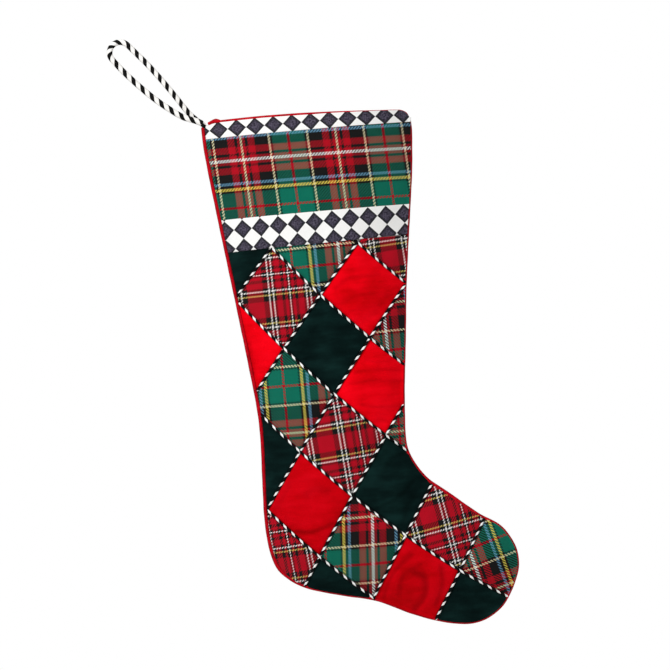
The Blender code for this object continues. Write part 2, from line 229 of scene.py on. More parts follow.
def sample(field, points):
    """Smooth (Catmull-Rom) value of a field at points of the plan."""
    place = (points - FIELD_START) / FIELD_STEP
    cell = np.clip(np.floor(place).astype(int), 1, np.array(FIELD_SHAPE) - 3)
    t = place - cell
    weights = [(-t + 2 * t ** 2 - t ** 3) / 2, (2 - 5 * t ** 2 + 3 * t ** 3) / 2,
               (t + 4 * t ** 2 - 3 * t ** 3) / 2, (t ** 3 - t ** 2) / 2]
    value = np.zeros(len(points))
    for i in range(4):
        for j in range(4):
            value += weights[i][:, 0] * weights[j][:, 1] * field[cell[:, 0] + i - 1, cell[:, 1] + j - 1]
    return value


def softened(field, times):
    """A field blurred a little, so that the bulge has no ridge along its middle."""
    for _ in range(times):
        for axis in (0, 1):
            field = (np.roll(field, 1, axis) + 2 * field + np.roll(field, -1, axis)) / 4
    return field


FIELD_INSIDE = distance_inside(field_points())
DOME = softened((DOME_HEIGHT * np.sin(pi / 2 * np.clip(FIELD_INSIDE / DOME_REACH, -0.3, 1)))
                .reshape(FIELD_SHAPE), 8)


def dome(points):
    """Height of the bulge in front of the seam plane."""
    return np.maximum(0, sample(DOME, points))


PINNED_LINES = (0, CUFF_FOOT, LOWER_RIBBON_FOOT)       # seams across the stocking
TOP_RIBBON_FOOT = -15.7 * MM
MOST_PUFF = 4.5 * MM


def simulated_puff():
    """Rise of the front cloth off the bulge, filled out by its wadding and held at its seams."""
    plan = field_points()
    used = FIELD_INSIDE > -FIELD_STEP
    held = (FIELD_INSIDE < 0.8 * FIELD_STEP) | (distance_from_seams(plan) < 0.55 * FIELD_STEP)
    held |= plan[:, 1] > TOP_RIBBON_FOOT
    for height in PINNED_LINES:
        held |= np.abs(plan[:, 1] - height) < 0.5 * FIELD_STEP
    number = np.full(len(plan), -1)
    number[used] = np.arange(used.sum())
    number = number.reshape(FIELD_SHAPE)
    corners = np.stack([number[:-1, :-1], number[1:, :-1], number[1:, 1:], number[:-1, 1:]], axis=-1)
    faces = corners.reshape(-1, 4)
    faces = faces[(faces >= 0).all(1)]
    rest = -dome(plan[used])
    mesh = bpy.data.meshes.new("front_cloth_form")
    mesh.from_pydata(np.column_stack([plan[used, 0], rest, plan[used, 1]]).tolist(), [], faces.tolist())
    form = bpy.data.objects.new("front_cloth_form", mesh)
    scene = bpy.context.scene
    scene.collection.objects.link(form)
    pins = form.vertex_groups.new(name="held")
    pins.add(np.flatnonzero(held[used]).tolist(), 1.0, "REPLACE")
    modifier = form.modifiers.new("puff", "CLOTH")
    cloth = modifier.settings
    cloth.quality = 6
    cloth.mass = 0.25
    cloth.tension_stiffness = cloth.compression_stiffness = 12
    cloth.shear_stiffness = 4
    cloth.bending_stiffness = 0.3
    cloth.air_damping = 2
    cloth.vertex_group_mass = "held"
    cloth.shrink_min = -0.035
    cloth.use_pressure = True
    cloth.uniform_pressure_force = 5
    cloth.effector_weights.gravity = 0
    modifier.collision_settings.use_collision = False
    modifier.collision_settings.use_self_collision = False
    last = 22
    modifier.point_cache.frame_start, modifier.point_cache.frame_end = 1, last
    for number_of_frame in range(1, last + 1):
        scene.frame_set(number_of_frame)
    settled = form.evaluated_get(bpy.context.evaluated_depsgraph_get()).data
    depth = np.empty(3 * len(rest))
    settled.vertices.foreach_get("co", depth)
    rise = np.zeros(len(plan))
    rise[used] = rest - depth.reshape(-1, 3)[:, 1]
    scene.frame_set(1)
    bpy.data.objects.remove(form)
    bpy.data.meshes.remove(mesh)
    return (MOST_PUFF * np.tanh(rise / MOST_PUFF)).reshape(FIELD_SHAPE)


PUFF = softened(simulated_puff(), 1)

# The front cloth covers the piping along the toe side and the sole, and stops beside it at the heel.
CLOTH = 3.0 * MM                     # front cloth off the bulge, away from its edges
PATCH_EDGE = 1.4 * MM                # off the bulge where it dips under a seam cord
BESIDE_PIPING, OVER_PIPING = 0.9 * MM, 2.4 * MM
MOST_OVERHANG = 2.2 * MM


def overhang(points):
    """How far the front cloth reaches over the piping."""
    x, z = points[:, 0], points[:, 1]
    toe_side = np.clip((x - 0.150) / 0.03, 0, 1)
    sole = np.clip((-0.470 - z) / 0.02, 0, 1)
    instep = np.exp(-((x - 0.225) / 0.04) ** 2 - ((z + 0.405) / 0.04) ** 2)
    return MOST_OVERHANG * np.maximum(toe_side, sole) * (1 - 0.6 * instep)


FRONT_LINE = inset(OUTER_EDGE, 2 * PIPING_RADIUS - 0.1 * MM - overhang(OUTER_EDGE))


# Folds pressed into the velvet patches: points (x, z), half width and rise in mm, less than 0 for
# a crease.
FRONT_FOLDS = [
    ([(119, -182), (135, -173), (165, -172)], 2.6, -0.35),
    ([(124, -198), (143, -192), (177, -193)], 2.6, -0.3),
    ([(132, -208), (153, -204), (165, -203)], 2.4, -0.25),
    ([(135, -184), (150, -182), (168, -183)], 4.5, 0.3),
    ([(89, -225), (105, -215), (126, -212)], 2.4, -0.5),
    ([(69, -239), (103, -237), (134, -240)], 3.0, -0.3),
    ([(81, -253), (104, -250), (128, -254)], 2.6, -0.35),
    ([(86, -232), (104, -226), (128, -226)], 5.0, 0.4),
    ([(144, -259), (158, -262), (172, -261)], 2.0, -0.35),
    ([(131, -271), (150, -269), (181, -273)], 2.0, -0.45),
    ([(125, -281), (151, -281), (181, -284)], 2.0, -0.4),
    ([(136, -305), (154, -309), (178, -310)], 2.2, -0.5),
    ([(145, -324), (154, -323), (163, -325)], 2.2, -0.35),
    ([(138, -294), (155, -295), (178, -297)], 5.0, 0.4),
    ([(36, -229), (37, -244), (36, -260)], 4.0, 0.5),
    ([(23, -232), (24, -245), (25, -262)], 4.0, -0.5),
    ([(56, -430), (73, -431), (94, -425)], 2.4, -0.8),
    ([(40, -427), (50, -428), (62, -431)], 2.4, -0.35),
    ([(50, -421), (66, -420), (88, -417)], 5.0, 0.5),
    ([(70, -392), (81, -387), (92, -391)], 5.0, -0.4),
    ([(36, -404), (46, -391), (54, -376)], 4.0, -0.3),
    ([(182, -388), (167, -402), (142, -413)], 2.2, -0.8),
    ([(157, -368), (166, -361), (178, -357)], 2.4, -0.6),
    ([(167, -431), (172, -418), (181, -406)], 3.4, -0.6),
    ([(176, -380), (160, -391), (143, -400)], 5.0, 0.4),
    ([(172, -464), (156, -478), (145, -496), (141, -508)], 3.2, -0.6),
    ([(178, -471), (163, -479), (152, -490), (147, -505)], 3.2, 0.5),
    ([(182, -474), (167, -480), (160, -490), (157, -503)], 3.2, -0.6),
    ([(175, -483), (184, -488), (185, -502), (181, -514), (172, -522)], 4.6, -0.8),
    ([(187, -470), (194, -485), (193, -502), (187, -514), (179, -523)], 4.2, 0.9),
    ([(203, -480), (202, -499), (194, -518)], 3.6, -0.7)]


def folds(points):
    """Rise of the folds in the front's patches, which run out before the seams."""
    rise = np.zeros(len(points))
    for line, width, height in FRONT_FOLDS:
        line = smooth_through(np.array(line) * MM, 3 * MM)
        gap = np.abs(distance_from(points, line))
        rise += height * MM * np.exp(-(gap / (width * MM)) ** 2)
    return rise * (1 - np.exp(-distance_from_seams(points) / (3 * MM)))


def puckers(points):
    """Small ripples in the cloth beside the seams, where the stitches gather it."""
    seam_ways = unit(np.array((KNOT_X[1:3], KNOT_Z[1:3])).T)
    ripple = sum(np.sin(points @ way / (1.5 * MM) + start) for start, way in enumerate(seam_ways))
    return 0.12 * MM * ripple * np.exp(-distance_from_seams(points) / (4 * MM))


def front_depth(points, lift=0.0, quilted=True):
    """y of the front cloth at points of the plan; lift is added over the whole piece."""
    inside = distance_from(points, FRONT_LINE)
    at_edge = BESIDE_PIPING + (OVER_PIPING - BESIDE_PIPING) * overhang(points) / MOST_OVERHANG
    off = CLOTH - (CLOTH - at_edge) * np.exp(-np.maximum(inside, 0) / (2.2 * MM))
    puff = np.maximum(sample(PUFF, points), -0.5 * MM)
    if quilted:
        gap = np.maximum(distance_from_seams(points) - 0.8 * MM, 0)
        off -= (CLOTH - PATCH_EDGE) * np.exp(-gap / (2.0 * MM))
        off += puff + folds(points) + puckers(points)
    else:
        off += np.minimum(puff, 1.2 * MM) * 0.5
    return -(dome(points) + off + lift)


# ---- paint: node materials ----

def srgb(red, green, blue):
    """Linear colour of a screen colour."""
    share = np.array((red, green, blue)) / 255
    linear = np.where(share <= 0.04045, share / 12.92, ((share + 0.055) / 1.055) ** 2.4)
    return (*linear.tolist(), 1.0)


class Paint:
    """A material being put together from nodes."""

    def __init__(self, name, **sockets):
        self.material = bpy.data.materials.new(name)
        self.material.use_nodes = True
        self.tree = self.material.node_tree
        self.shader = self.tree.nodes["Principled BSDF"]
        self.set(self.shader, **sockets)

    def feed(self, socket, value):
        """Give a socket a value or another node's output."""
        if isinstance(value, bpy.types.NodeSocket):
            self.tree.links.new(value, socket)
        else:
            socket.default_value = value

    def set(self, node, **sockets):
        """Feed a node's sockets, whose names have _ for a space."""
        for name, value in sockets.items():
            self.feed(node.inputs[name.replace("_", " ")], value)
        return node

    def node(self, kind, settings=None, **sockets):
        node = self.tree.nodes.new("ShaderNode" + kind)
        for name, value in (settings or {}).items():
            setattr(node, name, value)
        return self.set(node, **sockets)

    def math(self, operation, *values):
        node = self.tree.nodes.new("ShaderNodeMath")
        node.operation = operation
        for socket, value in zip(node.inputs, values):
            self.feed(socket, value)
        return node.outputs[0]

    def mix(self, share, a, b, blend="MIX"):
        node = self.tree.nodes.new("ShaderNodeMix")
        node.data_type, node.blend_type = "RGBA", blend
        for number, value in ((0, share), (6, a), (7, b)):
            self.feed(node.inputs[number], value)
        return node.outputs[2]

    def between(self, share, low, high):
        """A number that goes from low to high as share goes from 0 to 1."""
        return self.math("MULTIPLY_ADD", share, high - low, low)

    def ramp(self, value, stops, interpolation="LINEAR"):
        node = self.node("ValToRGB", Fac=value)
        node.color_ramp.interpolation = interpolation
        elements = node.color_ramp.elements
        while len(elements) < len(stops):
            elements.new(1.0)
        for element, (place, colour) in zip(elements, stops):
            element.position, element.color = place, colour
        return node.outputs["Color"]

    def place(self, name="cloth"):
        """Where a point lies on the flat cloth or along the cord, in millimetres."""
        return self.node("Attribute", {"attribute_name": name}).outputs["Vector"]

    def number(self, name):
        """A number that the mesh gives at each point."""
        return self.node("Attribute", {"attribute_name": name}).outputs["Fac"]

    def grey(self, value, low_at, low, high_at, high):
        """A shade that goes from one brightness to another as a number goes between two places."""
        return self.ramp(value, [(low_at, (low, low, low, 1)), (high_at, (high, high, high, 1))])

    def axes(self, place):
        return self.node("SeparateXYZ", Vector=place).outputs[:2]

    def stretched(self, place, x, y):
        return self.node("Mapping", Vector=place, Scale=(x, y, 1)).outputs["Vector"]

    def noise(self, place, scale, detail=2.0):
        return self.node("TexNoise", Vector=place, Scale=scale, Detail=detail).outputs[0]

    def painted_side_shade(self, around, dark_at, bright_at, darkest):
        """Painted shade for a cord in a groove: 1 along its outward side, falling to its darkest at the
        sides.
        """
        outward = self.math("COSINE", self.math("MULTIPLY", around, 2 * pi))
        return self.grey(outward, dark_at, darkest, bright_at, 1)

    def bump(self, height, depth):
        """Raise the surface by a height from 0 to 1, which stands for a depth in metres."""
        node = self.node("Bump", Height=height, Distance=depth, Strength=1.0)
        self.set(self.shader, Normal=node.outputs[0])

    def lit(self, colour, shade):
        """The colour made lighter or darker by a number around 1."""
        self.set(self.shader, Base_Color=self.mix(1.0, colour, shade, "MULTIPLY"))


BLACK, CREAM, WHITE = srgb(20, 20, 20), srgb(230, 220, 176), srgb(250, 248, 246)
RED, GREEN = srgb(188, 6, 30), srgb(4, 116, 94)
BLUE, YELLOW = srgb(104, 158, 192), srgb(238, 218, 90)
SCARLET, STRAW = srgb(198, 2, 32), srgb(220, 198, 104)

# Stripes from one pivot of a tartan to its other pivot, where they turn back: where each ends in
# mm, and its colour.
GREEN_HALF, RED_HALF = 49.2, 36.0
GREEN_FINE_STRIPES = [(1.1, CREAM), (3.9, RED), (6.9, BLACK), (14, RED), (28, BLACK), (30.3, CREAM),
                      (32.3, BLACK), (47.8, GREEN), (GREEN_HALF, RED)]
GREEN_BRIGHT_STRIPES = [(1.4, WHITE), (4.3, RED), (7, BLACK), (14, RED), (22.6, BLACK), (25.7, BLUE),
                        (28.3, BLACK), (31.4, YELLOW), (33.5, BLACK), (47.9, GREEN), (GREEN_HALF, RED)]


def red_stripes(second_line):
    return [(0.5, WHITE), (2.5, BLACK), (5.1, SCARLET), (8.2, BLACK), (13.8, SCARLET), (16.2, BLACK),
            (17.9, WHITE), (20.4, BLACK), (22.1, second_line), (27.6, BLACK), (RED_HALF, SCARLET)]


def striped(paint, across, stripes):
    """The colour of a tartan's stripes at a distance across them."""
    half = stripes[-1][0]
    share = paint.math("DIVIDE", paint.math("PINGPONG", across, half), half)
    starts = [0.0] + [end / half for end, _ in stripes[:-1]]
    return paint.ramp(share, [(start, colour) for start, (_, colour) in zip(starts, stripes)], "CONSTANT")


def tartan(name, upright, level, thread, slant):
    """Wool in a two-over, two-under twill of upright and level threads, whose ribs climb to the
    right where slant is -1 and to the left where it is 1."""
    paint = Paint(name, Roughness=0.9, Specular_IOR_Level=0.12, Sheen_Weight=0.05, Sheen_Roughness=0.5)
    across, up = paint.axes(paint.place())
    counts, rounds = [], []
    for distance in (across, up):
        threads = paint.math("DIVIDE", distance, thread)
        counts.append(paint.math("FLOOR", threads))
        rounds.append(paint.math("SINE", paint.math("MULTIPLY", paint.math("FRACT", threads), pi)))
    step = paint.math("MULTIPLY_ADD", counts[1], slant, counts[0])
    upright_on_top = paint.math("LESS_THAN", paint.math("FLOORED_MODULO", step, 4), 2)
    colour = paint.mix(upright_on_top, striped(paint, up, level), striped(paint, across, upright))
    height = paint.mix(upright_on_top, rounds[1], rounds[0])
    uneven = paint.noise(paint.place(), 0.9, 3.0)
    worn = paint.noise(paint.place(), 0.045, 2.0)
    # Painted shade: each thread is darkened towards its edges, down to 0.4, for the shade between the
    # threads and along the twill's ribs; uneven adds tone that differs at random.
    shade = paint.math("MULTIPLY", paint.between(height, 0.4, 1.03), paint.between(uneven, 0.7, 1.3))
    paint.lit(colour, paint.math("MULTIPLY", shade, paint.between(worn, 0.88, 1.12)))
    paint.bump(paint.math("ADD", height, uneven), 0.12 * MM)
    return paint.material


def velvet(name, deep, colour, bright, tint):
    """Short pile with broad brushed patches of darker and lighter tone, faint streaks, and painted shade in
    its creases.
    """
    paint = Paint(name, Roughness=0.95, Specular_IOR_Level=0.03, Sheen_Weight=0.12, Sheen_Roughness=0.45,
                  Sheen_Tint=tint)
    place = paint.place()
    brushed = paint.noise(place, 0.024, 3.0)
    streaks = paint.noise(paint.stretched(place, 0.03, 0.11), 1.0, 3.0)
    tone = paint.math("ADD", paint.math("MULTIPLY", brushed, 0.6), paint.math("MULTIPLY", streaks, 0.4))
    pile = paint.noise(place, 2.4, 2.0)
    base = paint.ramp(tone, [(0.36, deep), (0.5, colour), (0.64, bright)])
    # Painted shade: the pile is darkened along the creases pressed into the patch, to 0.66 of its colour
    # where they are deepest.
    painted_crease_shade = paint.grey(paint.number("fold_for_painted_shade"), 0.0, 0.66, 0.5, 1)
    # Each red velvet patch is made lighter or darker as a whole, the lower ones darker.
    shade = paint.math("MULTIPLY", paint.math("MULTIPLY", painted_crease_shade, paint.number("patch_lightness")),
                       paint.between(pile, 0.8, 1.2))
    paint.lit(base, shade)
    paint.bump(paint.math("MULTIPLY_ADD", pile, 0.2, streaks), 0.8 * MM)
    return paint.material


def check_ribbon(name):
    """White ribbon with a row of flocked charcoal diamonds; its place is counted in checks."""
    paint = Paint(name, Roughness=0.85, Specular_IOR_Level=0.1, Sheen_Weight=0.08, Sheen_Roughness=0.4)
    place = paint.place()
    reach = 0.0
    for axis in paint.axes(place):
        away = paint.math("ABSOLUTE", paint.math("SUBTRACT", axis, paint.math("ROUND", axis)))
        reach = paint.math("MULTIPLY_ADD", away, 2.0, reach)
    ragged = paint.noise(place, 18.0, 2.0)
    reach = paint.math("ADD", reach, paint.between(ragged, -0.035, 0.035))
    past_edge = paint.math("MULTIPLY", paint.math("SUBTRACT", reach, 0.985), 30.0)
    outside = paint.math("SMOOTH_MIN", 1.0, paint.math("MAXIMUM", 0.0, past_edge), 0.2)
    diamond = paint.math("SUBTRACT", 1.0, outside)
    flock = paint.noise(place, 11.0, 4.0)
    charcoal = paint.ramp(flock, [(0.35, srgb(36, 32, 42)), (0.68, srgb(92, 86, 104))])
    rimmed = paint.mix(paint.grey(reach, 0.5, 0, 0.92, 1), charcoal, srgb(30, 31, 34))
    weave = paint.noise(place, 60.0, 1.0)
    white = paint.ramp(weave, [(0.3, srgb(236, 235, 232)), (0.7, srgb(250, 250, 249))])
    paint.lit(paint.mix(diamond, white, rimmed), paint.between(flock, 0.94, 1.04))
    height = paint.math("ADD", paint.math("MULTIPLY", diamond, paint.between(flock, 0.6, 1.0)),
                        paint.math("MULTIPLY", weave, 0.2))
    paint.bump(height, 0.3 * MM)
    return paint.material


def striped_cord(name, pitch, ground, stripe, share, slant=1.0, sunk=False):
    """Bias-striped cotton over a cord: a stripe in each pitch (mm), which moves along by slant
    pitches as it goes once round, from the seam along the cord's back. A cord that is sunk into a
    seam gets painted shade on its sides, for the shade of the groove it lies in."""
    paint = Paint(name, Roughness=0.8, Specular_IOR_Level=0.08)
    place = paint.place("cord")
    along, around = paint.axes(place)
    ragged = paint.noise(place, 1.3, 2.0)
    from_front = paint.math("SUBTRACT", around, paint.math("GREATER_THAN", around, 0.5))
    turn = paint.math("MULTIPLY_ADD", from_front, -slant, paint.math("DIVIDE", along, pitch))
    phase = paint.math("FRACT", paint.math("ADD", turn, paint.between(ragged, -0.03, 0.03)))
    on_stripe = paint.math("LESS_THAN", phase, share)
    weave = paint.noise(paint.stretched(place, 2.0, 26.0), 1.0, 2.0)
    shade = paint.between(weave, 0.86, 1.12)
    # Painted shade: a sunk cord's sides are darkened, for the shade of the groove between the puffed
    # patches.
    if sunk:
        shade = paint.math("MULTIPLY", shade, paint.painted_side_shade(around, 0.5, 0.78, 0.06))
    paint.lit(paint.mix(on_stripe, ground, stripe), shade)
    paint.bump(paint.math("MULTIPLY_ADD", on_stripe, 0.5, weave), 0.18 * MM)
    return paint.material


def bias_piping(name, sunk=False):
    """Red cotton folded over a cord, with the fine ribs of its bias cut. A cord that is sewn into a
    seam gets painted shade on its sides, for the shade of the seam and the cloth beside it."""
    paint = Paint(name, Roughness=0.6, Specular_IOR_Level=0.08)
    place = paint.place("cord")
    along, around = paint.axes(place)
    rib = paint.math("SINE", paint.math("MULTIPLY_ADD", around, 14 * pi, paint.math("MULTIPLY", along, 5.0)))
    pull = paint.noise(paint.stretched(place, 0.12, 2.0), 1.0, 3.0)
    colour = paint.ramp(pull, [(0.3, srgb(146, 0, 12)), (0.5, srgb(184, 0, 20)), (0.7, srgb(206, 2, 28))])
    shade = paint.between(rib, 0.98, 1.03)
    # Painted shade: sewn-in piping's sides are darkened, for the shade of the seam and the cloth beside it.
    if sunk:
        shade = paint.math("MULTIPLY", shade, paint.painted_side_shade(around, 0.2, 0.8, 0.3))
    paint.lit(colour, shade)
    paint.bump(paint.math("MULTIPLY_ADD", rib, 0.06, pull), 0.5 * MM)
    return paint.material


def plain_cloth(name, deep, bright, roughness, weave_size, depth):
    """A plain woven or fluffy cloth with uneven colour."""
    paint = Paint(name, Roughness=roughness, Specular_IOR_Level=0.15, Sheen_Weight=0.1)
    place = paint.place()
    broad = paint.noise(place, 0.05, 3.0)
    weave = paint.noise(place, 1 / weave_size, 2.0)
    paint.lit(paint.ramp(broad, [(0.35, deep), (0.65, bright)]), paint.between(weave, 0.85, 1.15))
    paint.bump(weave, depth)
    return paint.material


PAINTS = {
    "cuff_tartan": tartan("cuff_tartan_wool", GREEN_FINE_STRIPES, GREEN_BRIGHT_STRIPES, 0.8, -1),
    GREEN_TARTAN: tartan("green_tartan_wool", GREEN_BRIGHT_STRIPES, GREEN_FINE_STRIPES, 0.8, 1),
    RED_TARTAN: tartan("red_tartan_wool", red_stripes(WHITE), red_stripes(STRAW), 0.72, -1),
    GREEN_VELVET: velvet("dark_green_velvet", srgb(4, 15, 15), srgb(8, 26, 25), srgb(15, 40, 38),
                         srgb(40, 110, 105)),
    RED_VELVET: velvet("bright_red_velvet", srgb(200, 0, 8), srgb(226, 0, 16), srgb(240, 4, 24),
                       srgb(255, 40, 50)),
    "checked_ribbon": check_ribbon("flocked_check_ribbon"),
    # The seam cords get painted shade on their sides (sunk=True).
    "seam_cord": striped_cord("black_cord_white_stripe", 11.8, srgb(12, 12, 13), srgb(255, 255, 253), 0.4,
                              sunk=True),
    "loop_cord": striped_cord("white_cord_black_stripe", LOOP_PITCH, srgb(242, 240, 236),
                              srgb(15, 15, 15), 0.5, slant=1.5),
    "red_piping": bias_piping("red_bias_piping"),
    # The seam piping gets painted shade on its sides (sunk=True).
    "seam_piping": bias_piping("red_seam_piping", sunk=True),
    "lining": plain_cloth("red_lining_cotton", srgb(120, 2, 12), srgb(150, 6, 20), 0.7, 0.5, 0.1 * MM),
    "wadding": plain_cloth("white_wadding_fleece", srgb(222, 220, 212), srgb(240, 238, 232), 0.95, 2.5,
                           0.8 * MM),
    "back_velvet": velvet("plain_green_velvet", srgb(4, 20, 18), srgb(6, 28, 25), srgb(10, 36, 32),
                          srgb(30, 110, 95))}


# ---- meshes ----

def eased(count):
    """Shares from 0 to 1, a little closer together at both ends."""
    t = np.linspace(0, 1, count + 1)
    return 0.65 * t + 0.35 * (1 - np.cos(pi * t)) / 2


def rows_across(polygon, along, step):
    """Points that fill a polygon: side by side rows, each from edge to edge in one direction."""
    along = unit(np.array(along, float))
    across = np.array((-along[1], along[0]))
    s, t = polygon @ along, polygon @ across
    next_s, next_t = np.roll(s, -1), np.roll(t, -1)
    shares = eased(max(4, ceil((s.max() - s.min()) / step)))
    margin = 0.05 * MM
    low, high = t.min() + margin, t.max() - margin
    rows = []
    for level in low + (high - low) * eased(max(4, ceil((high - low) / step))):
        crossed = (t - level) * (next_t - level) < 0
        share = (level - t[crossed]) / (next_t - t)[crossed]
        hits = s[crossed] + share * (next_s - s)[crossed]
        run = hits.min() + (hits.max() - hits.min()) * shares
        rows.append(run[:, None] * along + level * across)
    return np.array(rows)


def grid_faces(row_count, column_count, first=0):
    number = first + np.arange(row_count * column_count).reshape(row_count, column_count)
    corners = [number[:-1, :-1], number[:-1, 1:], number[1:, 1:], number[1:, :-1]]
    rim = np.concatenate([number[0, :-1], number[:-1, -1], number[-1, :0:-1], number[:0:-1, 0]])
    return np.stack(corners, axis=-1).reshape(-1, 4), rim


def on_cloth(points, lie):
    """Places on the flat cloth, in its own units, for points of the plan."""
    x0, z0, lean, tilt, unit_x, unit_z = (*lie, 1.0, 1.0)[:6]
    x, z = points[:, 0] / MM - x0, points[:, 1] / MM - z0
    lean, tilt = radians(lean), radians(tilt)
    return np.column_stack([(x * cos(lean) + z * sin(lean)) / unit_x,
                            (z * cos(tilt) - x * sin(tilt)) / unit_z, np.zeros(len(x))])


def add_piece(name, vertices, faces, paint, body, nodes, cloth=None, cord=None, fold_for_painted_shade=0.5, patch_lightness=1.0):
    """Put a mesh in the scene as a piece on a body, in place of its CAD nodes."""
    mesh = bpy.data.meshes.new(name)
    mesh.from_pydata(np.asarray(vertices).tolist(), [], [list(map(int, face)) for face in faces])
    if cloth is not None:
        mesh.attributes.new("cloth", "FLOAT_VECTOR", "POINT").data.foreach_set("vector", cloth.ravel())
        for label, value in (("fold_for_painted_shade", fold_for_painted_shade), ("patch_lightness", patch_lightness)):
            values = np.full(len(cloth), value)
            mesh.attributes.new(label, "FLOAT", "POINT").data.foreach_set("value", values)
    if cord is not None:
        mesh.uv_layers.new(name="cord").data.foreach_set("uv", np.asarray(cord, float).ravel())
    mesh.shade_smooth()
    mesh.materials.append(PAINTS[paint])
    piece = bpy.data.objects.new(name, mesh)
    bpy.context.scene.collection.objects.link(piece)
    if body:
        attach(piece, body)
    if nodes:
        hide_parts(*nodes)
    return piece


def cloth_piece(name, rows, depth, paint, lie, node, hem=1.0 * MM, patch_lightness=1.0):
    """A cloth laid over the plan at the depth that a function gives, its edges turned back."""
    points = rows.reshape(-1, 2)
    front = np.column_stack([points[:, 0], depth(points), points[:, 1]])
    faces, rim = grid_faces(*rows.shape[:2])
    turned = front[rim] + (0, hem, 0)
    behind = len(front) + np.arange(len(rim))
    rim_faces = np.column_stack([np.roll(rim, -1), rim, behind, np.roll(behind, -1)])
    cloth = np.vstack([on_cloth(points, lie), on_cloth(points[rim], lie)])
    # How far each point lies in a fold or crease, kept for the velvet's painted crease shade.
    fold_for_painted_shade = 0.5 + np.clip(folds(points) / (1.6 * MM), -0.5, 0.5)
    return add_piece(name, np.vstack([front, turned]), [*faces, *rim_faces], paint, "stocking", [node],
                     cloth, fold_for_painted_shade=np.r_[fold_for_painted_shade, fold_for_painted_shade[rim]], patch_lightness=patch_lightness)


def slab_piece(name, rows, front, back, paint, node):
    """A closed layer over the plan between two depths."""
    points = rows.reshape(-1, 2)
    layers = [np.column_stack([points[:, 0], depth(points), points[:, 1]]) for depth in (front, back)]
    faces, rim = grid_faces(*rows.shape[:2])
    behind = rim + len(points)
    rim_faces = np.column_stack([np.roll(rim, -1), rim, behind, np.roll(behind, -1)])
    back_faces = faces[:, ::-1] + len(points)
    cloth = np.vstack([on_cloth(points, PLAIN_LIE)] * 2)
    return add_piece(name, np.vstack(layers), [*faces, *back_faces, *rim_faces], paint, "stocking", [node],
                     cloth)


# Rings of a tube's round end: how far past it, and how wide, in radii.
ROUND_END = np.array([(-0.97, 0.24), (-0.85, 0.53), (-0.6, 0.8), (-0.3, 0.95)])


def tube_mesh(line, radius, reference, sides=12, closed=False, blunt=(1, 1), wound=((0, 1000), (0, 1000))):
    """Vertices, faces and cord places of a round tube along a line, its ends rounded off. The places
    along it are found from wound: distances in mm, and the places there."""
    line = np.asarray(line, float)
    radius = np.broadcast_to(radius, len(line)).astype(float)
    if closed:
        along = unit(np.roll(line, -1, 0) - np.roll(line, 1, 0))
    else:
        along = unit(np.gradient(line, axis=0))
        for length in blunt:                   # one end, then turned round for the other
            cap = line[0] + np.outer(ROUND_END[:, 0] * radius[0] * length, along[0])
            line = np.vstack([cap, line])[::-1]
            radius = np.r_[ROUND_END[:, 1] * radius[0], radius][::-1]
            along = -np.vstack([np.repeat(along[:1], len(cap), 0), along])[::-1]
    reference = np.broadcast_to(np.array(reference, float), line.shape)
    normal = unit(reference - (reference * along).sum(1)[:, None] * along)
    side = np.cross(along, normal)
    angles = 2 * pi * np.arange(sides) / sides
    rings = (line[:, None] + radius[:, None, None] * (np.cos(angles)[:, None] * normal[:, None]
                                                      + np.sin(angles)[:, None] * side[:, None]))
    reached = np.concatenate([[0], np.cumsum(np.linalg.norm(np.diff(line, axis=0), axis=1))]) / MM
    reached = np.interp(reached, *wound)
    faces, places = [], []
    for k in range(len(line) if closed else len(line) - 1):
        here, there = k * sides, (k + 1) % len(line) * sides
        near, far = reached[k], reached[k + 1] if k + 1 < len(reached) else reached[-1] + 3
        for s in range(sides):
            after = (s + 1) % sides
            faces.append((here + s, here + after, there + after, there + s))
            places += [(near, s / sides), (near, (s + 1) / sides), (far, (s + 1) / sides), (far, s / sides)]
    if not closed:
        count = len(line) * sides
        for ring in (range(sides - 1, -1, -1), range(count - sides, count)):
            faces.append(tuple(ring))
            places += [(reached[0] if ring[0] < sides else reached[-1], 0.5)] * sides
    return rings.reshape(-1, 3), faces, places


def tube_piece(name, line, radius, reference, paint, nodes, body="stocking", **shape):
    vertices, faces, places = tube_mesh(line, radius, reference, **shape)
    return add_piece(name, vertices, faces, paint, body, nodes, cord=places)


# ---- camera and cord ----

def photo_camera():
    """The photo's view: square on to the front, rolled by 5 degrees, from well back."""
    lens = bpy.data.cameras.new("photo_camera")
    lens.lens, lens.sensor_width = 250, 36
    camera = bpy.data.objects.new("photo_camera", lens)
    camera.location = (0.114, -4.845, -0.230)
    camera.rotation_euler = (radians(90), radians(5), 0)
    bpy.context.scene.collection.objects.link(camera)
    bpy.context.scene.camera = camera


photo_camera()

TOWARDS_FRONT, UPWARDS = (0, -1, 0), (0, 0, 1)
CORD_STEP = 1.5 * MM


def smooth_space(points, step):
    return smooth_through(np.array(points) * MM, step)


PIVOT_X, _, PIVOT_Z = SWING_PIVOT / MM
FRONT_STRAND = [(PIVOT_X, -2.9, PIVOT_Z), (-9.6, -3.0, 4.0), (-13.8, -2.9, 5.7), (-18.3, -2.6, 7.4),
                (-27.2, -1.5, 11.8), (-46.8, -0.5, 26.9)]
BACK_STRAND = [(-42.2, 0.4, 49.4), (-29.6, 1.2, 31.3), (-22.8, 2.0, 20.8), (-16.4, 2.8, 11.9),
               (-10.6, 3.0, 6.3), (PIVOT_X, 2.9, PIVOT_Z)]
FRONT_ROOT = [(0.6, -0.3, -5.4), (-1.2, -0.6, -3.2), (-3.3, -2.3, -0.5), (PIVOT_X, -2.9, PIVOT_Z)]
BACK_ROOT = [(PIVOT_X, 2.9, PIVOT_Z), (-3.3, 2.1, -0.5), (-1.2, 0.8, -3.2), (0.6, 0.3, -5.4)]


def line_length(line):
    return np.linalg.norm(np.diff(line, axis=0), axis=1).sum()


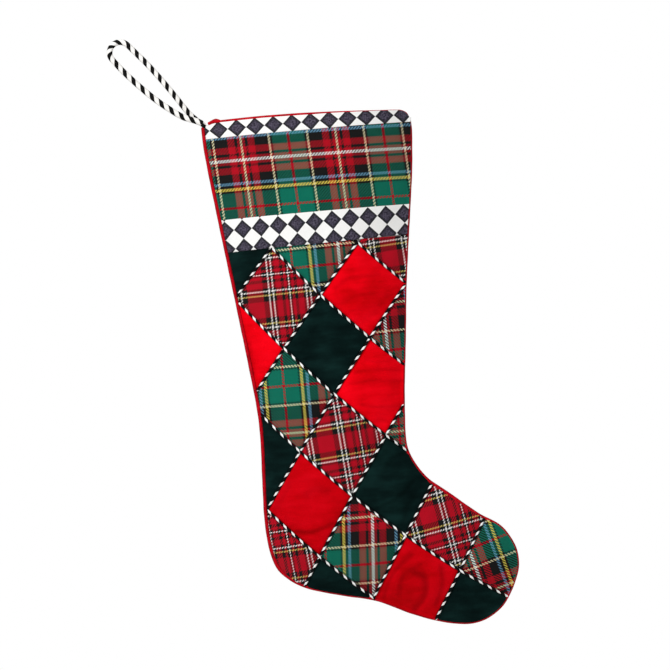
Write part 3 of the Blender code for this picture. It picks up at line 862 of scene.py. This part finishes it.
def hanging_loop():
    """The loop of striped cord, whose two strands lie one on the other from the corner up."""
    middle = [(x, 0, z) for x, z in LOOP_ROUTE[3:-3]]
    line = smooth_space([*FRONT_STRAND, *middle, *BACK_STRAND], CORD_STEP)
    radius = LOOP_CORD_RADIUS * np.linspace(1.05, 0.95, len(line))
    loop = tube_piece("hanging_loop_cord", line, radius, TOWARDS_FRONT, "loop_cord",
                      ["loop_neck", "hanging_loop"], body=None, sides=20,
                      wound=(LOOP_TURNS[0], LOOP_PITCH * np.array(LOOP_TURNS[1])))
    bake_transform(loop)

    taper = np.array([1.0, 1.6, 2.6, 3.0]) * MM
    parts = []
    for route, radii, turns in ((FRONT_ROOT, taper, (0.3, 0.11)), (BACK_ROOT, taper[::-1], (22.54, 23.2))):
        root = smooth_space(route, CORD_STEP)
        radius = np.interp(np.linspace(0, 1, len(root)), np.linspace(0, 1, 4), radii)
        wound = ((0, line_length(root) / MM), LOOP_PITCH * np.array(turns))
        parts.append(tube_mesh(root, radius, TOWARDS_FRONT, sides=20, wound=wound))
    vertices = np.vstack([part[0] for part in parts])
    faces = parts[0][1] + [tuple(v + len(parts[0][0]) for v in face) for face in parts[1][1]]
    roots = add_piece("loop_roots", vertices, faces, "loop_cord", "stocking", ["loop_tack"],
                      cord=parts[0][2] + parts[1][2])


hanging_loop()


# ---- front: patches, cuff and ribbons ----

FRONT_PLAN = spread(FRONT_LINE, 2.5 * MM)
SEAM_ALLOWANCE = 0.8 * MM
MESH_STEP = 1.6 * MM


def mouth_height(x):
    """Height of the ribbon's upper edge, which droops to the toe side and is round at the corner."""
    line = np.array([(-6, -6), (-2.2, -2.6), (1.5, -0.2), (6, 0.7), (60, 0.7), (100, 0.1), (130, -0.5),
                     (165, -1.6), (195, -2.5), (202, -3.0), (206, -4.5), (209, -7.3), (211, -11)]) * MM
    return np.interp(x, line[:, 0], line[:, 1])


def ribbon_foot(x):
    """Height of the lower ribbon's lower edge, which climbs a little to the toe side."""
    return -135.5 * MM + 0.0155 * x + 0.3 * MM * np.sin(x / 0.025)


def patch_rows(i, j):
    """Points over a patch, between its seams, the outline and the ribbon."""
    corners = [knot(i, j), knot(i + 1, j), knot(i + 1, j + 1), knot(i, j + 1)]
    middle = np.mean(corners, axis=0)
    polygon = FRONT_PLAN
    shrunk = []
    for a, b in zip(corners, corners[1:] + corners[:1]):
        inward = unit(np.array((a[1] - b[1], b[0] - a[0])))
        inward *= np.sign((middle - a) @ inward)
        polygon = clip(polygon, a + SEAM_ALLOWANCE * inward, inward)
        shrunk.append(a + SEAM_ALLOWANCE * inward)
    polygon = clip(polygon, np.array((0, LOWER_RIBBON_FOOT + 1.5 * MM)), np.array((0, -1)))
    if len(polygon) == 4:
        start = int(np.argmin(np.linalg.norm(polygon - corners[0], axis=1)))
        a, b, c, d = np.roll(polygon, -start, axis=0)
        columns = eased(ceil(max(np.linalg.norm(b - a), np.linalg.norm(c - d)) / MESH_STEP))
        rows = eased(ceil(max(np.linalg.norm(d - a), np.linalg.norm(c - b)) / MESH_STEP))
        s, t = columns[None, :, None], rows[:, None, None]
        return (1 - t) * ((1 - s) * a + s * b) + t * ((1 - s) * d + s * c)
    on_outline = np.abs(distance_from(polygon, FRONT_LINE)) < 0.1 * MM
    if on_outline.sum() > 2:
        return rows_across(polygon, polygon.mean(0) - polygon[on_outline].mean(0), MESH_STEP)
    return rows_across(polygon, (0, 1), MESH_STEP)


for number, ((i, j), cloth) in enumerate(PATCHES.items(), 1):
    patch = cloth_piece(f"patch_{number:02d}", patch_rows(i, j), front_depth, cloth,
                        TARTAN_LIES.get((i, j), (9 * number, 31 * number, 0, 0)),
                        f"patch_{number:02d}_{cloth}", patch_lightness=PATCH_LIGHTNESS.get((i, j), 1.0))


def flat_size(rows):
    """Width and length of a cloth's plan in metres, and its area."""
    points = rows.reshape(-1, 2)
    faces, rim = grid_faces(*rows.shape[:2])
    x, z = points[rim].T
    area = abs(np.dot(x, np.roll(z, -1)) - np.dot(z, np.roll(x, -1))) / 2
    size = np.ptp(points, axis=0)
    return tuple(size.tolist()), min(float(area), float(size.prod()))


def front_sheet(name, top, foot, lift, paint, lie, node, moved=None):
    """A piece of cloth from edge to edge of the front, between two heights, with an edge moved."""
    rows = rows_across(band(FRONT_PLAN, top, foot), (1, 0), MESH_STEP)
    if moved:
        rows = edge_moved(rows, *moved)
    piece = cloth_piece(name, rows, lambda points: front_depth(points, lift, quilted=False),
                        paint, lie, node)
    flat, area = flat_size(rows)


RIBBON_LIFT = 0.6 * MM
LOWER_RIBBON_TOP = -100.8 * MM
CUFF_LAP = 2 * MM                    # of the cuff under the ribbons


def edge_moved(rows, straight, edge, line):
    """The plan with the edge at one height brought to a line, and the other edge left straight."""
    share = (rows[..., 1] - straight) / (edge - straight)
    return np.dstack([rows[..., 0], straight + share * (line(rows[..., 0]) - straight)])


front_sheet("cuff", TOP_RIBBON_FOOT + CUFF_LAP, CUFF_FOOT - CUFF_LAP, 0, "cuff_tartan", CUFF_LIE,
            "tartan_cuff")
front_sheet("upper_ribbon", MOUTH_TOP, TOP_RIBBON_FOOT, RIBBON_LIFT, "checked_ribbon",
            UPPER_RIBBON_LIE, "top_check_ribbon", (TOP_RIBBON_FOOT, MOUTH_TOP, mouth_height))
front_sheet("lower_ribbon", LOWER_RIBBON_TOP, LOWER_RIBBON_FOOT, RIBBON_LIFT, "checked_ribbon",
            LOWER_RIBBON_LIE, "lower_check_ribbon", (LOWER_RIBBON_TOP, LOWER_RIBBON_FOOT, ribbon_foot))


# ---- cords and piping that are sewn down ----

def cord_depth(points):
    """y of a seam cord's middle, which sinks into the side seam at its ends."""
    inside = np.maximum(distance_from(points, FRONT_LINE), 0)
    below_ribbon = np.maximum(ribbon_foot(points[:, 0]) - points[:, 1], 0)
    sunk = 1.9 * MM * np.exp(-inside / (3 * MM)) + 1.3 * MM * np.exp(-below_ribbon / (2.5 * MM))
    return -(dome(points) + 3.0 * MM - sunk)


def seam_cord(name, start, end, number, shorten):
    """A striped cord over a seam, from one lattice place to another, cut to what shows."""
    share = np.linspace(0, 1, 60)[:, None]
    plan = np.array([knot(*place) for place in start + (end - start) * share])
    plan = spread(plan, 0.5 * MM)
    reached = np.arange(len(plan)) * 0.5 * MM
    shows = distance_from(plan, FRONT_LINE) > 0.6 * MM
    shows &= plan[:, 1] < ribbon_foot(plan[:, 0]) + 1.0 * MM
    shows &= (reached > shorten) & (reached[::-1] > shorten)
    plan = spread(plan[shows], 2.5 * MM)
    line = np.column_stack([plan[:, 0], cord_depth(plan), plan[:, 1]])
    tube_piece(name + "_stripes", line, SEAM_CORD_RADIUS, TOWARDS_FRONT, "seam_cord", [name], sides=12,
               wound=((0, 1000), (4.3 * number, 1000 + 4.3 * number)))


for number, (j, (first, last)) in enumerate(LONG_CORDS.items(), 1):
    seam_cord(f"long_seam_cord_{number}", np.array((first, j)), np.array((last, j)), number, 0)
for number, (i, j) in enumerate(SHORT_CORDS, 1):
    seam_cord(f"short_seam_cord_{number:02d}", np.array((i, j)), np.array((i, j + 1)), number, 2.0 * MM)


def side_piping():
    """The piping in the side seam, from the hanging corner round the foot to the mouth's far end,
    where it runs out."""
    plan = inset(OUTER_EDGE, PIPING_RADIUS)
    middle = len(plan) // 2
    row = np.arange(len(plan))
    shows = np.where(row < middle, plan[:, 1] < -2.9 * MM, plan[:, 1] < -11.0 * MM)
    plan = spread(plan[shows], 3 * MM)
    steps = np.arange(len(plan))
    uneven = 1 + 0.03 * np.sin(steps * 0.9) + 0.025 * np.sin(steps * 0.37 + 1)
    line = np.column_stack([plan[:, 0], 0.15 * MM * np.sin(steps * 0.21), plan[:, 1]])
    narrowing = 1 - 0.62 * eased_step(1 - (len(plan) - 1 - steps) / 4)
    tube_piece("side_piping_tube", line, PIPING_RADIUS * uneven * narrowing, TOWARDS_FRONT, "seam_piping",
               ["side_piping"], sides=16)


def mouth_piping():
    """The thin piping round the mouth, along the front ribbon, behind which it sinks to the toe
    side, and back along the back panel."""
    x = np.concatenate([np.linspace(3.6, 204, 70), np.linspace(207.0, 207.8, 3)]) * MM
    sunk = np.clip((x - 0.095) / 0.085, 0, 1)
    above = mouth_height(x) + (0.75 - 1.5 * sunk) * MM
    front = np.column_stack([x, -(dome(np.column_stack([x, above])) + (2.6 - 0.8 * sunk) * MM), above])
    back = np.column_stack([x, np.full(len(x), 1.1 * MM), above])[::-1]
    turn_left = np.array([(2.6, -0.7, 0.7)]) * MM
    turn_right = np.array([(209.5, -1.0, -10.6)]) * MM
    ring = smooth_through(np.vstack([front, turn_right, back, turn_left, front[:1]]), 2 * MM)[:-1]
    tube_piece("mouth_piping_tube", ring, MOUTH_PIPING_RADIUS + 0.15 * MM, UPWARDS, "red_piping",
               ["mouth_piping"], sides=12, closed=True)


def piping_tail():
    """The piping's raw end, folded over and lapped on the hanging corner."""
    plan = np.array([(2.2, 0.2), (3.8, 0.9), (6.4, 1.8), (9.3, 2.4), (12.0, 2.2), (15.5, 1.4)]) * MM
    line = np.column_stack([plan[:, 0], -(dome(plan) + 3.0 * MM), plan[:, 1]])
    line = smooth_through(line, 0.8 * MM)
    radius = np.interp(np.linspace(0, 1, len(line)), [0, 0.25, 0.6, 0.8, 1], [1.7, 1.85, 2.4, 1.8, 0.9]) * MM
    tube_piece("piping_tail_end", line, radius, TOWARDS_FRONT, "red_piping", ["piping_tail"], sides=16,
               blunt=(0.2, 1))


side_piping()
mouth_piping()
piping_tail()


# ---- inside and back ----

def up_to_mouth(points, depth_below, depth_at_mouth, over):
    """A depth that changes from one to the other over the last stretch below the mouth."""
    share = eased_step(1 - (mouth_height(points[:, 0]) - points[:, 1]) / over)
    return depth_below + (depth_at_mouth - depth_below) * share


def mouth_shaped(rows, above=0):
    """A plan whose upper edge is brought to the mouth's line, or to a little above it."""
    share = eased_step(1 + rows[..., 1] / (60 * MM))
    rise = mouth_height(rows[..., 0]) + above - MOUTH_TOP
    return np.dstack([rows[..., 0], rows[..., 1] + share * rise])


def lining_plan(line_inset, top):
    """The pocket's plan, which comes out to the side seams at the mouth."""
    narrowing = 11 * MM * eased_step(-OUTER_EDGE[:, 1] / (45 * MM))
    line = inset(OUTER_EDGE, line_inset + narrowing)
    rows = rows_across(band(spread(line, 2.5 * MM), MOUTH_TOP, BELOW_FOOT), (1, 0), 4 * MM)
    return mouth_shaped(rows, top)


def front_lining_depth(points):
    below = -np.maximum(dome(points) - 3.5 * MM, 3.6 * MM)
    return up_to_mouth(points, below, -(dome(points) + 1.7 * MM), 16 * MM)


def back_lining_depth(points):
    return up_to_mouth(points, -3.4 * MM, 0.4 * MM, 12 * MM)


def lining(name, depth, node, back):
    rows = lining_plan(5 * MM, 0.2 * MM)
    piece = cloth_piece(name, rows[:, ::-1] if back else rows, depth, "lining", PLAIN_LIE, node,
                        hem=0.5 * MM)
    flat, area = flat_size(rows)


lining("pocket_front", front_lining_depth, "front_lining", False)
lining("pocket_back", back_lining_depth, "back_lining", True)

BACK_FOLDS = [((160, -345), (60, -385), 8, 2.6), ((175, -372), (85, -425), 7, 2.2),
              ((35, -330), (120, -352), 9, 1.8), ((50, -445), (150, -425), 11, 2.0),
              ((175, -440), (240, -505), 12, 2.0), ((40, -100), (60, -290), 15, 2.2),
              ((155, -50), (130, -250), 16, 2.4), ((100, -150), (95, -300), 12, -1.6),
              ((190, -420), (120, -470), 7, 1.6), ((30, -30), (80, -120), 10, 1.5)]


def back_depth(points):
    """y of the back panel: soft and nearly flat, with the folds of a stocking that has hung."""
    inside = np.maximum(distance_from(points, OUTER_EDGE) - 3 * MM, 0)
    depth = 1.0 * MM + 2.2 * MM * (1 - np.exp(-inside / (12 * MM)))
    for start, end, width, height in BACK_FOLDS:
        start, end = np.array([start]) * MM, np.array([end]) * MM
        gap = distance_to(points, start, end)
        depth += height * MM * np.exp(-(gap / (width * MM)) ** 2) * (1 - np.exp(-inside / (10 * MM)))
    return depth


def back_panel():
    plan = band(spread(inset(OUTER_EDGE, 3.0 * MM), 2.5 * MM), MOUTH_TOP, BELOW_FOOT)
    rows = mouth_shaped(rows_across(plan, (1, 0), 3 * MM))
    piece = cloth_piece("back_cloth", rows[:, ::-1], back_depth, "back_velvet", PLAIN_LIE, "back_panel",
                        hem=-0.8 * MM)
    flat, area = flat_size(rows)


back_panel()


WADDING_TOP = -19 * MM


def wadding(name, front, back, node):
    """A layer of wadding between two depths, which stays clear of the seam and the mouth."""
    line = inset(OUTER_EDGE, 9 * MM)
    rows = rows_across(band(spread(line, 3 * MM), WADDING_TOP, BELOW_FOOT), (1, 0), 5 * MM)
    slab_piece(name, rows, front, back, "wadding", node)


wadding("wadding_front", lambda points: -(dome(points) + 0.6 * MM),
        lambda points: -(dome(points) - 2.8 * MM), "front_wadding")
wadding("wadding_back", lambda points: np.full(len(points), -2.9 * MM),
        lambda points: np.zeros(len(points)), "back_wadding")


# ---- floor and light ----

FLOOR_HEIGHT = -0.90
AIM = np.array((0.10, 0, -0.26))


def round_floor():
    """A pale round floor below the stocking, finely lined like photographer's card."""
    rings, spokes, reach = 24, 96, 1.45
    radius = reach * np.linspace(0, 1, rings + 1)[1:]
    angle = 2 * pi * np.arange(spokes) / spokes
    x, y = np.outer(radius, np.cos(angle)), np.outer(radius, np.sin(angle))
    vertices = np.column_stack([x.ravel() + AIM[0], y.ravel(), np.full(x.size, FLOOR_HEIGHT)])
    vertices = np.vstack([vertices, (AIM[0], 0, FLOOR_HEIGHT)])
    faces = []
    for s in range(spokes):
        after = (s + 1) % spokes
        faces.append((len(vertices) - 1, s, after))
        for near in range(0, (rings - 1) * spokes, spokes):
            far = near + spokes
            faces.append((near + s, far + s, far + after, near + after))
    mesh = bpy.data.meshes.new("floor")
    mesh.from_pydata(vertices.tolist(), [], faces)
    paint = Paint("pale_floor", Roughness=0.9, Specular_IOR_Level=0.1)
    grain = paint.noise(paint.node("TexCoord").outputs["Object"], 160.0, 2.0)
    paint.lit(srgb(246, 245, 243), paint.between(grain, 0.97, 1.03))
    paint.bump(grain, 0.2 * MM)
    mesh.materials.append(paint.material)
    floor = bpy.data.objects.new("floor", mesh)
    bpy.context.scene.collection.objects.link(floor)


def soft_light(name, place, size, power):
    lamp = bpy.data.lights.new(name, "AREA")
    lamp.shape, lamp.size, lamp.energy = "DISK", size, power
    light = bpy.data.objects.new(name, lamp)
    light.location = place
    aim = Vector(AIM - np.array(place))
    light.rotation_euler = aim.to_track_quat("-Z", "Y").to_euler()
    bpy.context.scene.collection.objects.link(light)


def studio():
    """White surroundings: bright behind the stocking, and softer as light on it."""
    world = bpy.data.worlds.new("studio")
    world.use_nodes = True
    tree = world.node_tree
    tree.nodes.clear()
    seen, cast = (tree.nodes.new("ShaderNodeBackground") for _ in range(2))
    seen.inputs["Strength"].default_value = 1.0
    cast.inputs["Strength"].default_value = 0.34
    for background in (seen, cast):
        background.inputs["Color"].default_value = (1, 1, 1, 1)
    choose = tree.nodes.new("ShaderNodeMixShader")
    tree.links.new(tree.nodes.new("ShaderNodeLightPath").outputs["Is Camera Ray"], choose.inputs[0])
    tree.links.new(cast.outputs[0], choose.inputs[1])
    tree.links.new(seen.outputs[0], choose.inputs[2])
    tree.links.new(choose.outputs[0], tree.nodes.new("ShaderNodeOutputWorld").inputs["Surface"])
    bpy.context.scene.world = world
    bpy.context.scene.view_settings.view_transform = "Standard"


round_floor()
soft_light("key_light", (-0.58, -1.12, 0.72), 0.7, 19)
soft_light("fill_light", (1.4, -1.5, 0.2), 1.2, 5)
soft_light("back_light", (0.7, 1.8, 0.5), 1.0, 24)
studio()
